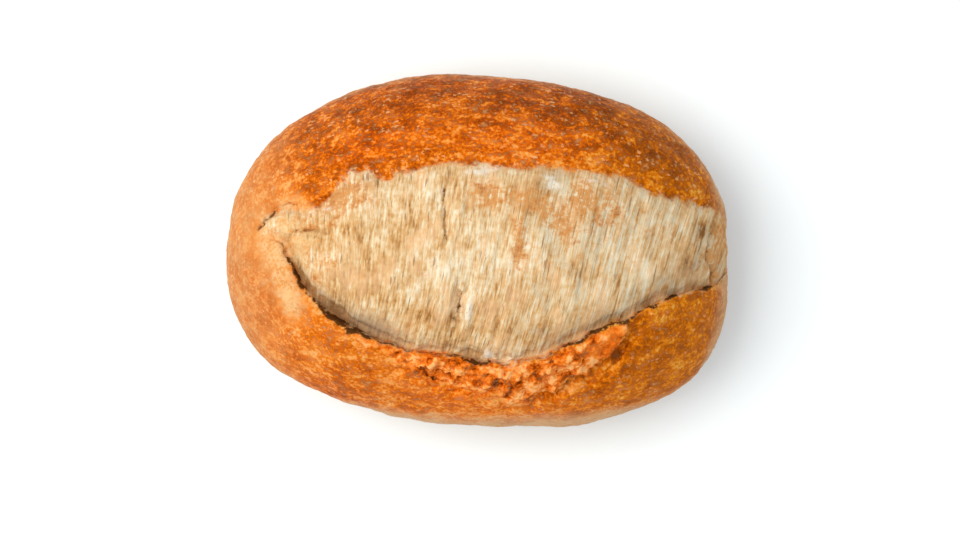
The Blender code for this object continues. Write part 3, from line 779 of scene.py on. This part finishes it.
# raised places are painted paler here, as a painted highlight
mosaic = mosaic + (pore - 0.5) * 1.4 - fine_rise * 0.4
paler = (1 - along.between(*PALE_END)) * (0.8 + (blotch - 0.5) * 1.8)
crust = paler.mix(crust, mosaic.between(0.15, 0.85).mix(END, END_TAN))
in_front = along.between(-38.0, -24.0) * (1 - along.between(32.0, 46.0))
pale_front = (1 - to_back.between(-39.0, -31.0)) * in_front * (along.between(4.0, 22.0) * 3.0 + 6.5)
pale_rim = pale_front + along.between(49.0, 56.0) * 6.0 + to_back.between(31.0, 39.0) * 2.0
low_side = 1 - (up - pale_rim + (blotch - 0.5) * 6.0 + (mottle - 0.5) * 4.0).between(*PALE_SIDE)
crust = (low_side * 0.95).mix(crust, mosaic.between(-0.1, 1.3).mix(SIDE, SIDE_TAN))
tray_high = (up + (blotch - 0.5) * 5.0 + (patch - 0.5) * 3.0).between(*TRAY_RIM)
crust = ((1 - tray_high) * 0.9).mix(crust, mosaic.between(0.1, 1.1).mix(TRAY_PALE, TRAY))

# Lighter specks and short dashes over the crust, fewer at the front and low down.
dots = spots(1.5, 0.34, 0.28, stretched(0.7, 1, 1)) + spots(0.9, 0.42, 0.24, stretched(0.8, 1, 1))
dashes = spots(2.6, 0.16, 0.30, stretched(0.32, 1.1, 1))
light_specks = dots * (0.2 + flock.between(0.40, 0.62) * 0.7) + dashes
light_specks = light_specks.maths("MINIMUM", light_specks, 1.0) * (0.85 + (mottle - 0.5) * 1.2)
fewer = (0.42 + to_back.between(-24.0, 8.0) * 0.33) * up.between(8.0, 20.0)
crust = (light_specks * fewer).mix(crust, SPECK)
bared = (tearing + (mottle - 0.5) * 1.4).between(0.1, 0.6)
crust = bared.mix(crust, torn_crust)

ragged = cut + (speck - 0.5) * 1.8 + (fibre - 0.5) * 1.4 + (mottle - 0.5) * 2.4
opened = ragged.between(-0.5, 1.0)
colour = opened.mix(crust, crumb)
colour = filmed.mix(colour, film)
# painted shade in the hollows, wherever the surface lies well below its smoothed self
hollow_shade = (0 - rise * (0.8 + (mottle - 0.5) * 2.0)).between(0.5, 1.8)
colour = (hollow_shade * 0.45).mix(colour, HOLLOW_SHADE)
uneven = 1 + (mottle - 0.5) * 2.4 + (pore - 0.5) * 1.6
# painted shade in the cracks, tears and creases
colour = (held("cracked") * uneven).between(0.25, 0.75).mix(colour, CRACK_SHADE)
# painted shade in the gap under the front lip
colour = (gap * uneven).between(0.3, 0.75).mix(colour, GAP_SHADE)

bumps = (1 - opened) * (small_speck * 0.5 + speck * 0.8) + opened * (fine_fibre * 0.6 + fibre * 0.5)
bump = start.add("Bump", None, {"Strength": 0.6, "Distance": 0.5 * MM, "Height": bumps})
surface = start.add("BsdfPrincipled", None, {
    "Base Color": colour,
    "Roughness": 0.50 + opened * 0.40 + (blotch - 0.5) * 0.2,
    "Normal": bump,
    "Specular IOR Level": SHEEN,
    "Specular Tint": SHEEN_TINT,
})
start.add("OutputMaterial", None, {"Surface": surface})
roll.data.materials.clear()
roll.data.materials.append(material)

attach(roll, "root")
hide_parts("bread_roll")


# ---- The table and the light ---------------------------------------------------------------------
# A plain white surface, seen from straight above. A large soft lamp stands to the left and a little
# behind, and a white room fills the shadows.

PHOTO = (960, 540)  # pixels
PIXEL = 0.2282 * MM  # how wide one of them is at the height below
PIXEL_HEIGHT = 20 * MM
ROLL_MIDDLE = (477.0, 250.5)  # in the photo
LENS = 85.0
SENSOR = 36.0
PAPER = (0.868, 0.890, 0.881)
PAPER_LIGHT = (0.887, 0.910, 0.901)
ROOM_WHITE = (0.92, 0.98, 1.04)
ROOM_LIGHT = 0.85
WINDOW_SPOT = (-0.65, 0.08, 0.95)
WINDOW_SIZE = 0.9
WINDOW_WATTS = 10.5
WINDOW_WHITE = (1.0, 0.97, 0.92)

bpy.ops.mesh.primitive_plane_add(size=3.0)
table = bpy.context.object
table.name = "table"
white, start_white = shading("white table")
paper = start_white.add("TexNoise", None, {
    "Vector": start_white.add("TexCoord", output=3), "Scale": 40.0, "Detail": 3.0})
tabletop = start_white.add("BsdfPrincipled", None, {
    "Base Color": paper.mix(PAPER, PAPER_LIGHT),
    "Roughness": 0.8,
})
start_white.add("OutputMaterial", None, {"Surface": tabletop})
table.data.materials.append(white)

room = bpy.data.worlds.new("white room")
bpy.context.scene.world = room
room.use_nodes = True
room.node_tree.nodes["Background"].inputs["Color"].default_value = (*ROOM_WHITE, 1)
room.node_tree.nodes["Background"].inputs["Strength"].default_value = ROOM_LIGHT

window = bpy.data.lights.new("window", "AREA")
window.color = WINDOW_WHITE
window.size = WINDOW_SIZE
window.energy = WINDOW_WATTS
stand = bpy.data.objects.new("window", window)
stand.location = WINDOW_SPOT
stand.rotation_euler = Vector(WINDOW_SPOT).to_track_quat("Z", "Y").to_euler()  # it looks at the roll
bpy.context.scene.collection.objects.link(stand)

eye = bpy.data.cameras.new("eye")
eye.lens = LENS
eye.sensor_width = SENSOR
camera = bpy.data.objects.new("eye", eye)
bpy.context.scene.collection.objects.link(camera)
bpy.context.scene.camera = camera
camera.location = (
    (PHOTO[0] / 2 - ROLL_MIDDLE[0]) * PIXEL,
    (ROLL_MIDDLE[1] - PHOTO[1] / 2) * PIXEL,
    PHOTO[0] / 2 * PIXEL / (SENSOR / 2 / LENS) + PIXEL_HEIGHT,
)
bpy.context.scene.view_settings.view_transform = "Standard"
